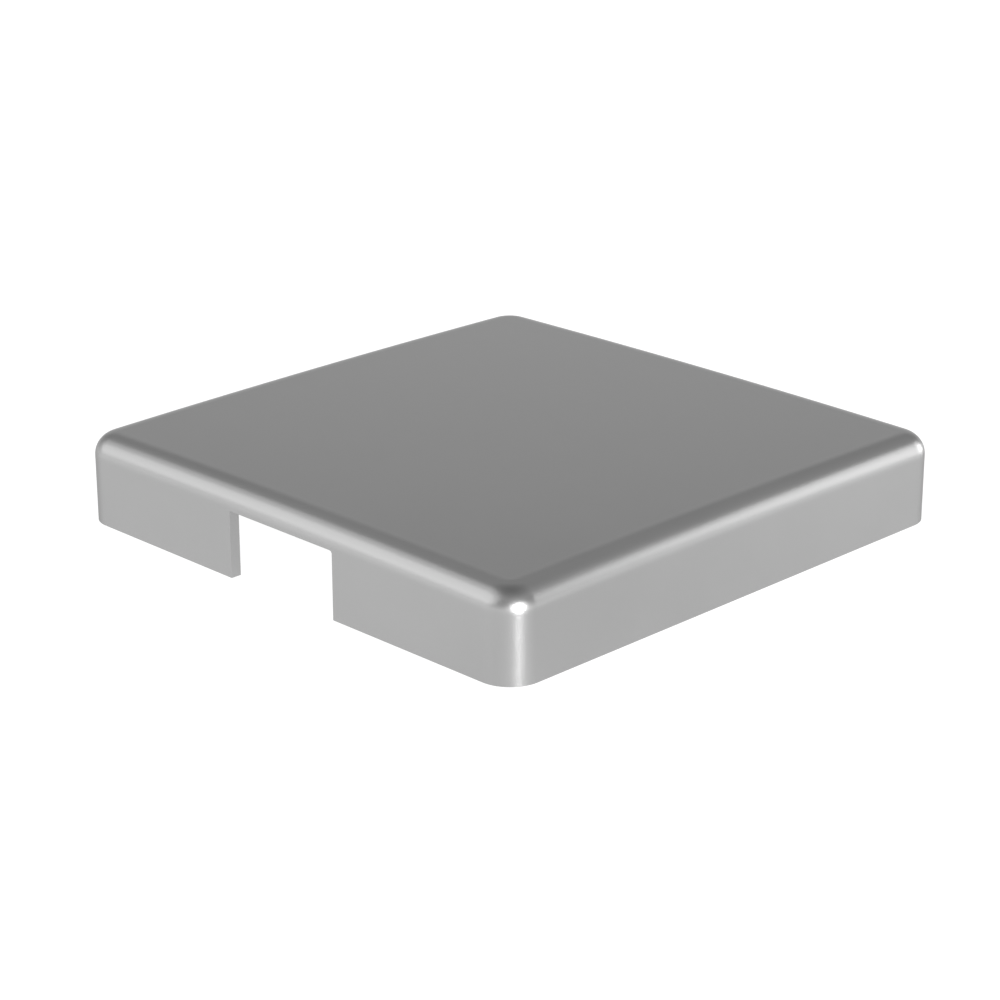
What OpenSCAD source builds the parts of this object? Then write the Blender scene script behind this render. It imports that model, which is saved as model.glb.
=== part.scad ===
/* [Post] */
// Width of the square post that the cap covers
post_w = 100; // [60:1:160]
// Clearance between the post and the cap, on each side
post_gap = 1; // [0.2:0.1:3]

/* [Cap] */
// Overall height, from the rim to the middle of the top
cap_h = 16.8; // [15:0.1:40]
// Rise of the top's middle above the ends of its straight edges
dome_rise = 0.8; // [0.2:0.1:2]
// Thickness of the walls, and of the top at its corners
wall = 2; // [1.2:0.1:3]
// Outer radius of the upright corners
corner_r = 6; // [4:0.5:12]
// Outer radius of the rounded top edges
edge_r = 4; // [2.5:0.5:8]

/* [Notch] */
// Width of the notch in the front wall
notch_w = 25.4; // [10:0.2:50]
// Height of the notch above the rim
notch_h = 12; // [4:0.5:12]
// Radius of the notch's upper corners
notch_r = 0.5; // [0.2:0.1:2]

/* [Hidden] */

// Smallest radius that a corner keeps when the rounding around it grows past it
min_r = 0.2;
// How far a cutting shape reaches past the face that it cuts
past = 1;
// Flats in a quarter turn of an upright corner, and in a quarter turn of a top edge
corner_flats = 10;
edge_flats = 10;
// Steps along a straight top edge, and from the edge to the middle of the top
side_steps = 8;
dome_steps = 5;
// Curved cutting shapes are drawn with this many sides
$fn = 96;

// The socket fits around the post, and the cap around the socket
socket_w = post_w + 2 * post_gap;
cap_w = socket_w + 2 * wall;
// The post meets the flat ceiling of the socket here
seat_z = cap_h - dome_rise - wall;
// Inside radii keep the wall's thickness around the corners and under the top edges
socket_corner_r = max(corner_r - wall, min_r);
socket_edge_r = min(max(edge_r - wall, min_r), socket_corner_r);

// End of a straight top edge, where the top is dome_rise below its middle
crest_x = cap_w / 2 - edge_r;
crest_y = cap_w / 2 - corner_r;
dome_slope = dome_rise / (crest_x * crest_x + crest_y * crest_y);

// Height of the crowned top above a point of the plan
function dome_z(x, y) = cap_h - dome_slope * (x * x + y * y);

function turned(p, quarters) =
    quarters == 0 ? p : turned([-p.y, p.x], quarters - 1);

// One corner arc and the straight side after it, on an outline drawn in by inset
function quarter_outline(inset) =
    let (r = max(corner_r - inset, min_r), c = cap_w / 2 - inset - r)
    concat(
        [for (i = [0 : corner_flats]) let (a = 90 * i / corner_flats) [c + r * cos(a), c + r * sin(a)]],
        [for (i = [1 : side_steps - 1]) [c - 2 * c * i / side_steps, c + r]]
    );

// The whole outline, anticlockwise seen from above
function outline(inset) =
    [for (q = [0 : 3]) for (p = quarter_outline(inset)) turned(p, q)];

// The outline laid on the crowned top, lowered by drop
function crest_ring(inset, drop) =
    [for (p = outline(inset)) [p.x, p.y, dome_z(p.x, p.y) - drop]];

// The crest drawn in towards the middle of the top by a share of its size
function dome_ring(share) =
    [for (p = outline(edge_r)) [p.x * share, p.y * share, dome_z(p.x * share, p.y * share)]];

// Outer skin: upright walls, a quarter round along each top edge and a crowned top
module outer_skin() {
    rim_ring = [for (p = outline(0)) [p.x, p.y, 0]];
    edge_rings = [
        for (i = [0 : edge_flats])
            let (a = 90 * i / edge_flats)
            crest_ring(edge_r * (1 - cos(a)), edge_r * (1 - sin(a)))
    ];
    dome_rings = [for (i = [1 : dome_steps - 1]) dome_ring(1 - i / dome_steps)];
    rings = concat([rim_ring], edge_rings, dome_rings);
    n = len(rim_ring);
    last = len(rings) - 1;
    apex = len(rings) * n;
    rim_middle = apex + 1;
    points = concat([for (ring = rings) each ring], [[0, 0, cap_h], [0, 0, 0]]);
    bands = [
        for (k = [0 : last - 1]) for (i = [0 : n - 1])
            let (j = (i + 1) % n, a = k * n, b = a + n)
            each [[a + i, b + i, b + j], [a + i, b + j, a + j]]
    ];
    top_fan = [for (i = [0 : n - 1]) [last * n + i, apex, last * n + (i + 1) % n]];
    rim_fan = [for (i = [0 : n - 1]) [i, (i + 1) % n, rim_middle]];
    polyhedron(points, concat(rim_fan, bands, top_fan));
}

// Upright section of the socket, from its own centre line out to reach, rounded below the ceiling
module socket_profile(reach) {
    intersection() {
        union() {
            translate([0, -past])
                square([reach, seat_z - socket_edge_r + past]);
            translate([0, -past])
                square([reach - socket_edge_r, seat_z + past]);
            translate([reach - socket_edge_r, seat_z - socket_edge_r])
                circle(r = socket_edge_r);
        }
        translate([0, -past])
            square([reach, seat_z + past]);
    }
}

// Socket for the post: straight sides, round upright corners and a flat ceiling
module socket() {
    straight = socket_w - 2 * socket_corner_r;
    for (q = [0 : 3]) {
        rotate([0, 0, 90 * q]) {
            translate([straight / 2, straight / 2, 0])
                rotate_extrude(angle = 90)
                    socket_profile(socket_corner_r);
            translate([0, straight / 2, 0])
                rotate([90, 0, 0])
                    linear_extrude(height = straight, center = false)
                        socket_profile(socket_w / 2);
        }
    }
}

// Notch from the rim up through the front wall
module notch() {
    round_x = notch_w / 2 - notch_r;
    translate([0, -cap_w / 2 + wall + socket_edge_r, 0])
        rotate([90, 0, 0])
            linear_extrude(height = wall + socket_edge_r + past)
                union() {
                    translate([-notch_w / 2, -past])
                        square([notch_w, notch_h - notch_r + past]);
                    translate([-round_x, -past])
                        square([2 * round_x, notch_h + past]);
                    for (side = [-1, 1])
                        translate([side * round_x, notch_h - notch_r])
                            circle(r = notch_r);
                }
}

module post_cap() {
    color([0.72, 0.72, 0.72])
        difference() {
            outer_skin();
            socket();
            notch();
        }
}

post_cap();
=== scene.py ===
import math

import bmesh
import bpy
import numpy as np
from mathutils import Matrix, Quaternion, Vector


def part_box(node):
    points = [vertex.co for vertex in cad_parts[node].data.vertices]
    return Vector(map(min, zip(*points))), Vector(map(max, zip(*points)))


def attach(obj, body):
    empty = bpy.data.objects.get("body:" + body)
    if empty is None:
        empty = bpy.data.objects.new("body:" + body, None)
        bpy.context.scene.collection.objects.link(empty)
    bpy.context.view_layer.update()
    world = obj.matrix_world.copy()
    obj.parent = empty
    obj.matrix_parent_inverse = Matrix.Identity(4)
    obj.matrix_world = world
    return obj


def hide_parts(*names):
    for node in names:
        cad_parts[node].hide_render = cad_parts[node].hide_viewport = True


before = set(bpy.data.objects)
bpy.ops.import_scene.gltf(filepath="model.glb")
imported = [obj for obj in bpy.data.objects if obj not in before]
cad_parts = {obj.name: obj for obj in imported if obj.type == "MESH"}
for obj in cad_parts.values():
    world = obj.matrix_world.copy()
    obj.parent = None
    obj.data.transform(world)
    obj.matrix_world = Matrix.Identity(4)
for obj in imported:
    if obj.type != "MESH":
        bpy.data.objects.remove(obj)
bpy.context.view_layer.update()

mm = 0.001  # the cap's sizes are in millimetres, Blender's in metres


# sRGB hex colour to linear RGBA
def hexColour(text):
    parts = np.array([int(text[i:i + 2], 16) for i in (1, 3, 5)]) / 255
    linear = np.where(parts <= 0.04045, parts / 12.92, ((parts + 0.055) / 1.055) ** 2.4)
    return (*linear, 1.0)


# empties the node tree of a new material or world and gives it back
def emptyTree(owner):
    owner.use_nodes = True
    owner.node_tree.nodes.clear()
    return owner.node_tree


# adds a node, sets its properties and inputs, and links sockets that are given as inputs
def addNode(tree, kind, inputs=None, **settings):
    node = tree.nodes.new(kind)
    for name, value in settings.items():
        setattr(node, name, value)
    for name, value in (inputs or {}).items():
        if isinstance(value, bpy.types.NodeSocket):
            tree.links.new(value, node.inputs[name])
        else:
            node.inputs[name].default_value = value
    return node


# unit vector from the object towards an azimuth and elevation, azimuth 0 being in front of it
def direction(azimuth, elevation):
    a, e = math.radians(azimuth), math.radians(elevation)
    return Vector((math.sin(a) * math.cos(e), -math.cos(a) * math.cos(e), math.sin(e)))


# vertex numbers of the cells of a grid of points, rows by columns
def gridCells(rows, columns, first):
    index = first + np.arange(rows * columns).reshape(rows, columns)
    return np.stack([index[:-1, :-1], index[:-1, 1:], index[1:, 1:], index[1:, :-1]], -1).reshape(-1, 4)


# smooth mesh object at the origin, from points in metres: points that meet are merged, and where no edge is
# open the faces are turned outwards
def meshPiece(name, points, faces, gap):
    mesh = bpy.data.meshes.new(name)
    mesh.from_pydata(points.tolist(), [], faces)
    made = bmesh.new()
    made.from_mesh(mesh)
    bmesh.ops.remove_doubles(made, verts=made.verts, dist=gap)
    openEdges = sum(not line.is_manifold for line in made.edges)
    if openEdges == 0:
        bmesh.ops.recalc_face_normals(made, faces=made.faces)
    made.to_mesh(mesh)
    made.free()
    mesh.shade_smooth()
    piece = bpy.data.objects.new(name, mesh)
    bpy.context.scene.collection.objects.link(piece)
    print(name, "made:", len(mesh.polygons), "faces,", openEdges, "open edges")
    return piece


# Cap: one shell, walls, crowned top and inside in one closed mesh. Sizes are in mm.
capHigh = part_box("post_cap")[1]
cap = {
    "half": capHigh.x / mm,      # half the width
    "height": capHigh.z / mm,    # rim to the middle of the top
    "domeRise": 0.8,             # middle of the top above the ends of its straight edges
    "wall": 2.0,
    "cornerRadius": 6.0,
    "edgeRadius": 4.0,           # drop from the crown's edge to the wall
    "edgeEase": 0.35,            # share of the rounded edge over which its bend sets in
    "notchWidth": 25.4,
    "notchHeight": 12.0,         # also where the inside wall starts to round into the ceiling
    "notchRadius": 0.5,          # its upper corners
    "lintel": 0.35,              # least wall between the notch's line and the rounded edge
    "edgeBreak": 0.06,           # softened rim and notch edges
    "breakAngle": 60,            # degrees, least turn of an edge that is softened
    "breakCells": 3,             # cells across a softened edge
    "cornerCells": 24,           # cells in a quarter turn of an upright corner
    "edgeCells": 20,             # cells in a quarter turn of a top edge
    "edgeSteps": 80,             # steps in each of those, for adding up its curve
    "insideCells": 10,           # cells in a quarter turn under the ceiling
    "notchCells": 10,            # cells across the notch
    "notchCornerCells": 6,       # cells in a quarter turn of its upper corners
    "sideCells": 14,             # cells from the notch's line to the corner
    "gap": 0.0005,               # points nearer than this are one point
}


# A side runs from the middle of one corner to the middle of the next. Its plan is a straight core line
# plus a radius times an outward direction, so one core carries every ring: walls, roundings and crest.
def sideCore():
    half = cap["half"] - cap["cornerRadius"]
    notch = cap["notchWidth"] / 2
    flat = notch - cap["notchRadius"]
    wing = np.linspace(-half, -notch, cap["sideCells"] + 1)
    middle = np.linspace(-flat, flat, cap["notchCells"] + 1)
    along = np.concatenate([wing, middle, -wing[::-1]])
    bend = np.radians(np.linspace(-45, 0, cap["cornerCells"] // 2 + 1))[:-1]
    angle = np.concatenate([bend, 0 * along, -bend[::-1]])
    x = np.concatenate([-half + 0 * bend, along, half + 0 * bend])
    core = np.stack([x, -half + 0 * x], -1)
    return core, np.stack([np.sin(angle), -np.cos(angle)], -1)


# The four sides in turn, each a quarter turn on from the last
def wholeTurn(side):
    quarter = np.array([[0.0, 1.0], [-1.0, 0.0]])
    turns = [np.linalg.matrix_power(quarter, k) for k in range(4)]
    return np.concatenate([side[:-1] @ turn for turn in turns])


# Crowned top: height falls with the square of the distance from the middle
def domeHeight(plan):
    crestX = cap["half"] - cap["edgeRadius"]
    crestY = cap["half"] - cap["cornerRadius"]
    slope = cap["domeRise"] / (crestX ** 2 + crestY ** 2)
    return cap["height"] - slope * (plan ** 2).sum(-1)


# Rounded top edge, seen in section: its bend grows evenly over the first share of its length and then
# stays, so the crown runs into it softly. Gives how far out and down each point is from the crown's edge.
def edgeCurve():
    ease, steps = cap["edgeEase"], cap["edgeSteps"]
    along = np.linspace(0, 1, cap["edgeCells"] * steps + 1)
    bend = np.where(along < ease, along ** 2 / (2 * ease), along - ease / 2)
    angle = np.radians(90) * bend / bend[-1]
    slopes = np.stack([np.cos(angle), np.sin(angle)])
    curve = np.pad(np.cumsum((slopes[:, 1:] + slopes[:, :-1]) / 2, 1), ((0, 0), (1, 0)))
    return curve[:, ::steps] * cap["edgeRadius"] / curve[1, -1]


# Plan of a flat middle: a patch stretched between the four sides of an outline, blending opposite sides
def middlePatch(ring):
    n = len(ring) // 4
    closed = np.concatenate([ring, ring[:1]])
    front, right = closed[:n + 1], closed[n:2 * n + 1]
    back, left = closed[2 * n:3 * n + 1][::-1], closed[3 * n:4 * n + 1][::-1]
    u = ((front[:, 0] - front[0, 0]) / (front[-1, 0] - front[0, 0]))[:, None, None]
    v = ((right[:, 1] - right[0, 1]) / (right[-1, 1] - right[0, 1]))[None, :, None]
    ruledY = (1 - v) * front[:, None] + v * back[:, None]
    ruledX = (1 - u) * left[None] + u * right[None]
    frontLine = (1 - u) * front[0] + u * front[-1]
    backLine = (1 - u) * back[0] + u * back[-1]
    return ruledX + ruledY - (1 - v) * frontLine - v * backLine


def buildCap():
    core, outward = (wholeTurn(part) for part in sideCore())
    corner, wall = cap["cornerRadius"], cap["wall"]
    ceiling = cap["height"] - cap["domeRise"] - wall
    insideEdge = cap["edgeRadius"] - wall
    half, notchTop, fillet = cap["notchWidth"] / 2, cap["notchHeight"], cap["notchRadius"]

    # Rings from the crown's edge down the outside, across the rim and up the inside to the ceiling, each a
    # radius from the core and a height. The rounded edge hangs from the crown, so its height varies.
    out, down = edgeCurve()[:, :, None]
    under = np.radians(np.linspace(0, 90, cap["insideCells"] + 1))[:, None]
    crest = domeHeight(core + (corner - out[-1]) * outward)
    upper = crest - down
    belt = np.minimum(notchTop, upper[-1] - cap["lintel"])
    low = np.array([notchTop - fillet, 0, 0, notchTop - fillet])[:, None] + 0 * crest
    lower = ceiling - insideEdge * (1 - np.sin(under)) + 0 * crest
    height = np.concatenate([upper, belt[None], low, lower])
    straight = corner - wall * np.array([0, 0, 0, 1, 1])[:, None]
    inside = corner - wall - insideEdge * (1 - np.cos(under))
    radius = np.concatenate([corner - out[-1] + out, straight, inside])
    rings = np.concatenate([core + radius[:, :, None] * outward, height[:, :, None]], -1)
    closed = np.concatenate([rings, rings[:, :1]], 1)
    rows, columns = closed.shape[:2]
    outerRow = len(out)                     # at the notch's top, outside
    innerRow = outerRow + len(straight)     # and inside

    # Cells of the ring surface, without those inside the notch
    points = closed.reshape(-1, 3)
    cells = gridCells(rows, columns, 0)
    middle = points[cells].mean(1)
    cellRow = np.repeat(np.arange(rows - 1), columns - 1)
    inNotch = (np.abs(middle[:, 0]) < half) & (middle[:, 1] < 0)
    inNotch &= (cellRow >= outerRow) & (cellRow < innerRow)
    faces = cells[~inNotch].tolist()

    # Notch: its top, its rounded upper corners and its ends
    facesFront = np.isclose(outward[:, 1], -1)
    across = np.flatnonzero(facesFront & (np.abs(core[:, 0]) <= half + cap["gap"]))
    outer, inner = outerRow * columns + across, innerRow * columns + across
    faces += np.stack([outer, np.roll(outer, -1), np.roll(inner, -1), inner], -1)[1:-2].tolist()
    turn = np.radians(np.linspace(0, 90, cap["notchCornerCells"] + 1))[1:-1]
    for side, end, near in ((-1, across[0], across[1]), (1, across[-1], across[-2])):
        arcs = []
        for top, foot in ((outerRow, outerRow + 1), (innerRow, innerRow - 1)):
            arc = np.column_stack([side * (half - fillet + fillet * np.sin(turn)),
                                   0 * turn + closed[top, end, 1],
                                   notchTop - fillet + fillet * np.cos(turn)])
            first = len(points)
            points = np.concatenate([points, arc])
            arcs.append([top * columns + near, *range(first, len(points)), foot * columns + end])
            faces.append([top * columns + end, *arcs[-1]])
        faces += [[a, b, d, c] for a, b, c, d in zip(arcs[0], arcs[0][1:], arcs[1], arcs[1][1:])]
        faces.append([row * columns + end for row in range(outerRow + 1, innerRow)])

    # Crowned top and flat ceiling, both patches inside the first and the last ring
    for ring, rise in ((rings[0], domeHeight), (rings[-1], lambda plan: ceiling + 0 * plan[:, 0])):
        patch = middlePatch(ring[:, :2])
        plan = patch.reshape(-1, 2)
        faces += gridCells(*patch.shape[:2], len(points)).tolist()
        points = np.concatenate([points, np.column_stack([plan, rise(plan)])])

    piece = meshPiece("cap_shell", points * mm, faces, cap["gap"] * mm)
    breaks = piece.modifiers.new("edge breaks", "BEVEL")
    breaks.width = cap["edgeBreak"] * mm
    breaks.segments = cap["breakCells"]
    breaks.limit_method = "ANGLE"
    breaks.angle_limit = math.radians(cap["breakAngle"])
    flatness = piece.modifiers.new("flat faces", "WEIGHTED_NORMAL")
    flatness.mode = "FACE_AREA"
    return piece


# Satin aluminium: cast, then blasted with fine beads, which leaves an even grey sheen with soft, slightly
# grainy highlights and no direction
satin = {
    "colour": "#a9a9a9",
    "roughness": 0.3,
    "roughnessSpread": 0.04,
    "edgeTint": "#cbcbcb",       # share of light kept at glancing angles
    "dimple": 0.28,              # mm across, drawn coarser than real bead marks so that it shows
    "dimpleDepth": 0.012,        # mm
    "dimpleDetail": 2.0,         # finer layers in the dimples
    "dimpleKeep": 0.6,           # strength that each finer layer keeps
    "cloud": 14.0,               # mm across, faint unevenness of the blasting
    "cloudSpread": 0.03,         # share by which it lightens and darkens the colour
    "cloudDetail": 3.0,
    "cloudKeep": 0.5,
}


def satinAluminium():
    material = bpy.data.materials.new("satin_blasted_aluminium")
    tree = emptyTree(material)
    place = addNode(tree, "ShaderNodeTexCoord").outputs["Object"]
    dimples = addNode(tree, "ShaderNodeTexNoise", {
        "Vector": place, "Scale": 1 / (satin["dimple"] * mm),
        "Detail": satin["dimpleDetail"], "Roughness": satin["dimpleKeep"]})
    clouds = addNode(tree, "ShaderNodeTexNoise", {
        "Vector": place, "Scale": 1 / (satin["cloud"] * mm),
        "Detail": satin["cloudDetail"], "Roughness": satin["cloudKeep"]})
    base = np.array(hexColour(satin["colour"])[:3])
    tone = addNode(tree, "ShaderNodeMix", {
        "Factor": clouds.outputs["Fac"],
        "A": (*base * (1 - satin["cloudSpread"]), 1.0),
        "B": (*base * (1 + satin["cloudSpread"]), 1.0)}, data_type="RGBA")
    sheen = addNode(tree, "ShaderNodeMapRange", {
        "Value": clouds.outputs["Fac"],
        "To Min": satin["roughness"] - satin["roughnessSpread"] / 2,
        "To Max": satin["roughness"] + satin["roughnessSpread"] / 2})
    bump = addNode(tree, "ShaderNodeBump", {
        "Height": dimples.outputs["Fac"], "Strength": 1.0, "Distance": satin["dimpleDepth"] * mm})
    shader = addNode(tree, "ShaderNodeBsdfPrincipled", {
        "Base Color": tone.outputs["Result"], "Metallic": 1.0,
        "Specular Tint": hexColour(satin["edgeTint"]),
        "Roughness": sheen.outputs["Result"], "Normal": bump.outputs["Normal"]})
    addNode(tree, "ShaderNodeOutputMaterial", {"Surface": shader.outputs["BSDF"]})
    return material


shell = buildCap()
shell.data.materials.append(satinAluminium())
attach(shell, "root")
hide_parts("post_cap")
print("cap dressed")


# Stage: a white floor that rises into a low wall all round, far off
stage = {
    "flatRings": (0.0, 0.1, 0.3, 0.8, 1.6),  # m, radii of the rings in the flat part
    "floorRadius": 2.4,          # m
    "wallHeight": 0.25,          # m
    "coveRadius": 0.2,           # m
    "coveCells": 12,
    "turnCells": 96,
    "gap": 1e-5,                 # m, points nearer than this are one point
    "colour": "#ffffff",
    "glow": 1.0,                 # white seen by the camera and in reflections
    "underGlow": 0.92,           # the same in reflections of the floor under the cap, in its shade
    "shadeEdge": 4.0,            # mm over which that shade ends
    "shadePatchGlow": 0.86,             # share of it left in a soft darker patch beside the near corner, in reflections: painted shade
    "shadePatchPlace": (90.0, -28.0, 0.0),  # mm, the middle of that patch
    "shadePatchReach": 80.0,            # mm from there to where it ends
    "albedo": "#5a5a5a",         # what the floor itself reflects, and where the shadow shows
    "floorGloss": 0.3,           # half gloss, so lamps low down show in it
    "floorSheen": 0.02,
}


# White acrylic board, lit from inside to a plain white, with a half gloss of its own. It glows for the camera
# and in reflections, where painted shade lowers the glow: under the cap, and in a soft patch beside it.
def whiteBoard():
    material = bpy.data.materials.new("white_acrylic_board")
    tree = emptyTree(material)
    rays = addNode(tree, "ShaderNodeLightPath")
    seen = addNode(tree, "ShaderNodeMath", {
        0: rays.outputs["Is Camera Ray"], 1: rays.outputs["Is Transmission Ray"]}, operation="MAXIMUM")
    plain = addNode(tree, "ShaderNodeMath", {0: seen.outputs[0], 1: stage["glow"]}, operation="MULTIPLY")
    place = addNode(tree, "ShaderNodeTexCoord").outputs["Object"]
    size = addNode(tree, "ShaderNodeVectorMath", {0: place}, operation="ABSOLUTE")
    sides = addNode(tree, "ShaderNodeSeparateXYZ", {"Vector": size.outputs["Vector"]})
    reach = addNode(tree, "ShaderNodeMath", {
        0: sides.outputs["X"], 1: sides.outputs["Y"]}, operation="MAXIMUM")
    shade = addNode(tree, "ShaderNodeMapRange", {
        "Value": reach.outputs[0], "From Min": (cap["half"] - stage["shadeEdge"]) * mm,
        "From Max": cap["half"] * mm, "To Min": stage["underGlow"], "To Max": stage["glow"]})
    # Painted shade: a soft darker patch beside the near corner, seen only in reflections of the floor
    away = addNode(tree, "ShaderNodeVectorMath", {
        0: place, 1: tuple(side * mm for side in stage["shadePatchPlace"])}, operation="DISTANCE")
    dim = addNode(tree, "ShaderNodeMapRange", {
        "Value": away.outputs["Value"], "From Min": 0.0, "From Max": stage["shadePatchReach"] * mm,
        "To Min": stage["shadePatchGlow"], "To Max": 1.0})
    lowered = addNode(tree, "ShaderNodeMath", {
        0: shade.outputs["Result"], 1: dim.outputs["Result"]}, operation="MULTIPLY")
    mirrored = addNode(tree, "ShaderNodeMath", {
        0: rays.outputs["Is Glossy Ray"], 1: lowered.outputs[0]}, operation="MULTIPLY")
    glow = addNode(tree, "ShaderNodeMath", {
        0: plain.outputs[0], 1: mirrored.outputs[0]}, operation="MAXIMUM")
    light = addNode(tree, "ShaderNodeEmission", {
        "Color": hexColour(stage["colour"]), "Strength": glow.outputs[0]})
    board = addNode(tree, "ShaderNodeBsdfPrincipled", {
        "Base Color": hexColour(stage["albedo"]), "Roughness": stage["floorGloss"],
        "Specular IOR Level": stage["floorSheen"]})
    both = addNode(tree, "ShaderNodeAddShader", {0: light.outputs[0], 1: board.outputs[0]})
    addNode(tree, "ShaderNodeOutputMaterial", {"Surface": both.outputs[0]})
    return material


# A round floor with a cove: a profile of floor, quarter round and wall, turned about the middle
def buildFloor():
    flat = np.array(stage["flatRings"])
    cove = np.radians(np.linspace(-90, 0, stage["coveCells"] + 1))
    edge, r = stage["floorRadius"], stage["coveRadius"]
    reach = np.concatenate([flat, edge - r + r * np.cos(cove), [edge]])
    rise = np.concatenate([0 * flat, r + r * np.sin(cove), [stage["wallHeight"]]])
    turn = np.radians(np.linspace(0, 360, stage["turnCells"] + 1))[:, None]
    points = np.stack([np.cos(turn) * reach, np.sin(turn) * reach, 0 * turn + rise], -1)
    cells = gridCells(*points.shape[:2], 0)
    return meshPiece("studio_floor", points.reshape(-1, 3), cells.tolist(), stage["gap"])


floor = buildFloor()
floor.data.materials.append(whiteBoard())
print("floor laid")

# Lamps: where each stands, seen from the cap, its face's width and height in m, and how bright that is
lampDistance = 2.0               # m
lamps = {
    "key": {"azimuth": 69.5, "elevation": 7.5, "face": (0.72, 0.55), "brightness": 54},
    "left": {"azimuth": -38, "elevation": 26, "face": (2.3, 1.35), "brightness": 0.62},
    "soft": {"azimuth": -38, "elevation": 34, "face": (3.4, 2.3), "brightness": 0.54},
    "back": {"azimuth": 153, "elevation": 15, "face": (1.5, 1.25), "brightness": 1.6},
    "far": {"azimuth": 225, "elevation": 10, "face": (1.8, 1.2), "brightness": 0.33},
    "rim": {"azimuth": 166, "elevation": 5, "face": (0.4, 0.7), "brightness": 6.5},
}


# Each lamp is an ellipse that faces the cap; its power is its face's brightness times its area times pi
def addLamps():
    for name, setting in lamps.items():
        lamp = bpy.data.lights.new(name, "AREA")
        lamp.shape = "ELLIPSE"
        lamp.size, lamp.size_y = setting["face"]
        area = math.pi * lamp.size * lamp.size_y / 4
        lamp.energy = setting["brightness"] * math.pi * area
        stand = bpy.data.objects.new(name, lamp)
        towards = direction(setting["azimuth"], setting["elevation"])
        stand.location = towards * lampDistance
        stand.rotation_mode = "QUATERNION"
        stand.rotation_quaternion = towards.to_track_quat("Z", "Y")
        stand.visible_camera = False
        bpy.context.scene.collection.objects.link(stand)


addLamps()

# Room above the floor's wall: grey, lightest low down. Each tone stands at the sine of its elevation.
room = {0.2: "#d8d8d8", 0.45: "#aaaaaa", 0.7: "#c3c3c3", 1.0: "#8b8b8b"}


def lightRoom():
    world = bpy.data.worlds.new("studio_room")
    tree = emptyTree(world)
    sky = addNode(tree, "ShaderNodeTexCoord").outputs["Generated"]
    look = addNode(tree, "ShaderNodeSeparateXYZ", {"Vector": sky})
    tone = addNode(tree, "ShaderNodeValToRGB", {"Fac": look.outputs["Z"]})
    stops = tone.color_ramp.elements
    for level in list(room)[1:-1]:
        stops.new(level)
    for stop, (level, colour) in zip(stops, room.items()):
        stop.position = level
        stop.color = hexColour(colour)
    air = addNode(tree, "ShaderNodeBackground", {"Color": tone.outputs["Color"], "Strength": 1.0})
    addNode(tree, "ShaderNodeOutputWorld", {"Surface": air.outputs["Background"]})
    bpy.context.scene.world = world


lightRoom()
print("lamps and room lit")

# Camera: a long lens from the front right, aimed a little below and left of the cap's middle
camera = {
    "azimuth": 44.96,
    "elevation": 20.18,
    "distance": 501.1,           # mm from the cap's middle
    "middle": 7.98,              # mm above the rim
    "lens": 102.9,               # mm
    "sensor": 36.0,              # mm
    "near": 0.01,                # m, nearest and farthest things shown
    "far": 20.0,                 # m
    "turnLeft": 0.197,           # degrees
    "turnDown": 0.514,           # degrees
}


def addCamera():
    back = direction(camera["azimuth"], camera["elevation"])
    place = Vector((0, 0, camera["middle"])) + back * camera["distance"]
    left = Quaternion((0, 1, 0), math.radians(camera["turnLeft"]))
    down = Quaternion((1, 0, 0), -math.radians(camera["turnDown"]))
    data = bpy.data.cameras.new("camera")
    data.lens = camera["lens"]
    data.sensor_width = camera["sensor"]
    data.clip_start = camera["near"]
    data.clip_end = camera["far"]
    made = bpy.data.objects.new("camera", data)
    made.location = place * mm
    made.rotation_mode = "QUATERNION"
    made.rotation_quaternion = (-back).to_track_quat("-Z", "Y") @ left @ down
    bpy.context.scene.collection.objects.link(made)
    bpy.context.scene.camera = made


addCamera()
bpy.context.scene.view_settings.view_transform = "Standard"
print("camera set")
